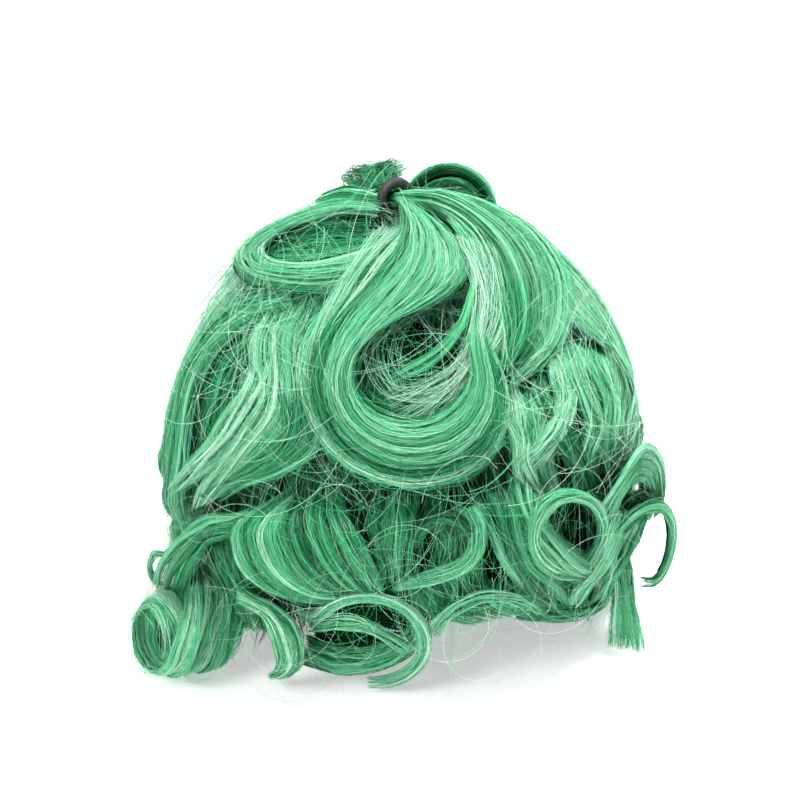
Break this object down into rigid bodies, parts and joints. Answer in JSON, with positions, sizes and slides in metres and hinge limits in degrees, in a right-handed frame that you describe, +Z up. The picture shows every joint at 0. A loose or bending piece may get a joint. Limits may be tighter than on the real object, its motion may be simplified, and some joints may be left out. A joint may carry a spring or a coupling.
{
  "type": "costume wig",
  "caption": "Half-up curly costume wig: a wefted cap with adjustable nape straps, hanging hair with a curled hem, and the upper hair in an elastic tie, its tail rolled on the back.",
  "frame": {"origin": "on the surface the wig stands on, under the middle of the cap", "axes": "+Z up; -Y towards the back of the wig, where the tail lies; +Y out of the face opening; +X to the wearer's right as the wig faces +Y"},
  "size_m": [0.2779, 0.2467, 0.238],
  "materials": {
    "hair": "glossy synthetic fibre",
    "weft_stitching": "machine-stitched thread",
    "cap_net": "open rose net",
    "front_tape": "soft woven tape",
    "cap_tape": "woven elastic tape",
    "elastic": "ribbed elastic",
    "tie_elastic": "thread-covered elastic",
    "hook_plastic": "moulded",
    "stay_plastic": "flexible strip"
  },
  "bodies": {
    "wig": {"crown_net": "cap_net", "back_net": "cap_net", "left_side_net": "cap_net", "right_side_net": "cap_net", "front_band": "front_tape", "nape_band": "cap_tape", "centre_strap": "cap_tape", "cross_strap": "cap_tape", "ear_tab_left": "cap_net", "ear_tab_right": "cap_net", "ear_stay_left": "stay_plastic", "ear_stay_right": "stay_plastic", "crown_wefts": "weft_stitching", "back_wefts": "weft_stitching", "side_wefts": "weft_stitching", "strap_casing_left": "cap_tape", "strap_casing_right": "cap_tape", "nape_loops": "elastic", "crown_hair": "hair", "front_hair": "hair", "temple_lock_left": "hair", "temple_lock_right": "hair", "side_hair_left": "hair", "side_hair_right": "hair", "back_hair_left": "hair", "back_hair_right": "hair", "gathered_hair": "hair", "rear_tuft": "hair", "top_loop": "hair", "left_roll": "hair", "left_hem_curl": "hair", "crescent_curl": "hair", "big_left_roll": "hair", "s_lock": "hair", "right_roll": "hair", "left_side_roll": "hair", "left_side_curl": "hair", "left_front_roll": "hair", "left_front_curl": "hair", "right_side_curl": "hair", "right_front_roll": "hair", "right_front_curl": "hair"},
    "tie": {"hair_tie": "tie_elastic"},
    "tail": {"tail_sweep": "hair", "tail_bundle": "hair", "tail_swirl": "hair"},
    "strap_left": {"adjuster_strap_left": "elastic", "adjuster_hook_left": "hook_plastic"},
    "strap_right": {"adjuster_strap_right": "elastic", "adjuster_hook_right": "hook_plastic"},
    "left_spiral": {"left_spiral_curl": "hair"},
    "centre_ring": {"centre_ring_curl": "hair"},
    "right_ring": {"right_ring_curl": "hair"},
    "right_loop": {"right_loop_curl": "hair"},
    "tuft": {"right_tuft": "hair"}
  },
  "joints": [
    {"name": "tail_lift", "type": "hinge", "parent": "wig", "child": "tail", "pos_m": [0, -0.0272, 0.228], "axis": [-1, 0, 0], "range_deg": [0, 45]},
    {"name": "tie_slide", "type": "slide", "parent": "wig", "child": "tie", "axis": [-0.5, 0.866, 0], "range_m": [0, 0.004]},
    {"name": "strap_left_slide", "type": "slide", "parent": "wig", "child": "strap_left", "axis": [0.9397, -0.342, 0], "range_m": [0, 0.012]},
    {"name": "strap_right_slide", "type": "slide", "parent": "wig", "child": "strap_right", "axis": [-0.9397, -0.342, 0], "range_m": [0, 0.012]},
    {"name": "left_spiral_lift", "type": "hinge", "parent": "wig", "child": "left_spiral", "pos_m": [-0.086, -0.072, 0.054], "axis": [-0.6428, 0.766, 0], "range_deg": [0, 30]},
    {"name": "centre_ring_lift", "type": "hinge", "parent": "wig", "child": "centre_ring", "pos_m": [-0.008, -0.107, 0.052], "axis": [-1, 0, 0], "range_deg": [0, 35]},
    {"name": "right_ring_lift", "type": "hinge", "parent": "wig", "child": "right_ring", "pos_m": [0.076, -0.079, 0.092], "axis": [-0.7314, -0.682, 0], "range_deg": [0, 30]},
    {"name": "right_loop_lift", "type": "hinge", "parent": "wig", "child": "right_loop", "pos_m": [0.112, -0.029, 0.057], "axis": [-0.2588, -0.9659, 0], "range_deg": [0, 30]},
    {"name": "tuft_lift", "type": "hinge", "parent": "wig", "child": "tuft", "pos_m": [0.106, -0.061, 0.058], "axis": [-0.515, -0.8572, 0], "range_deg": [0, 35]}
  ]
}
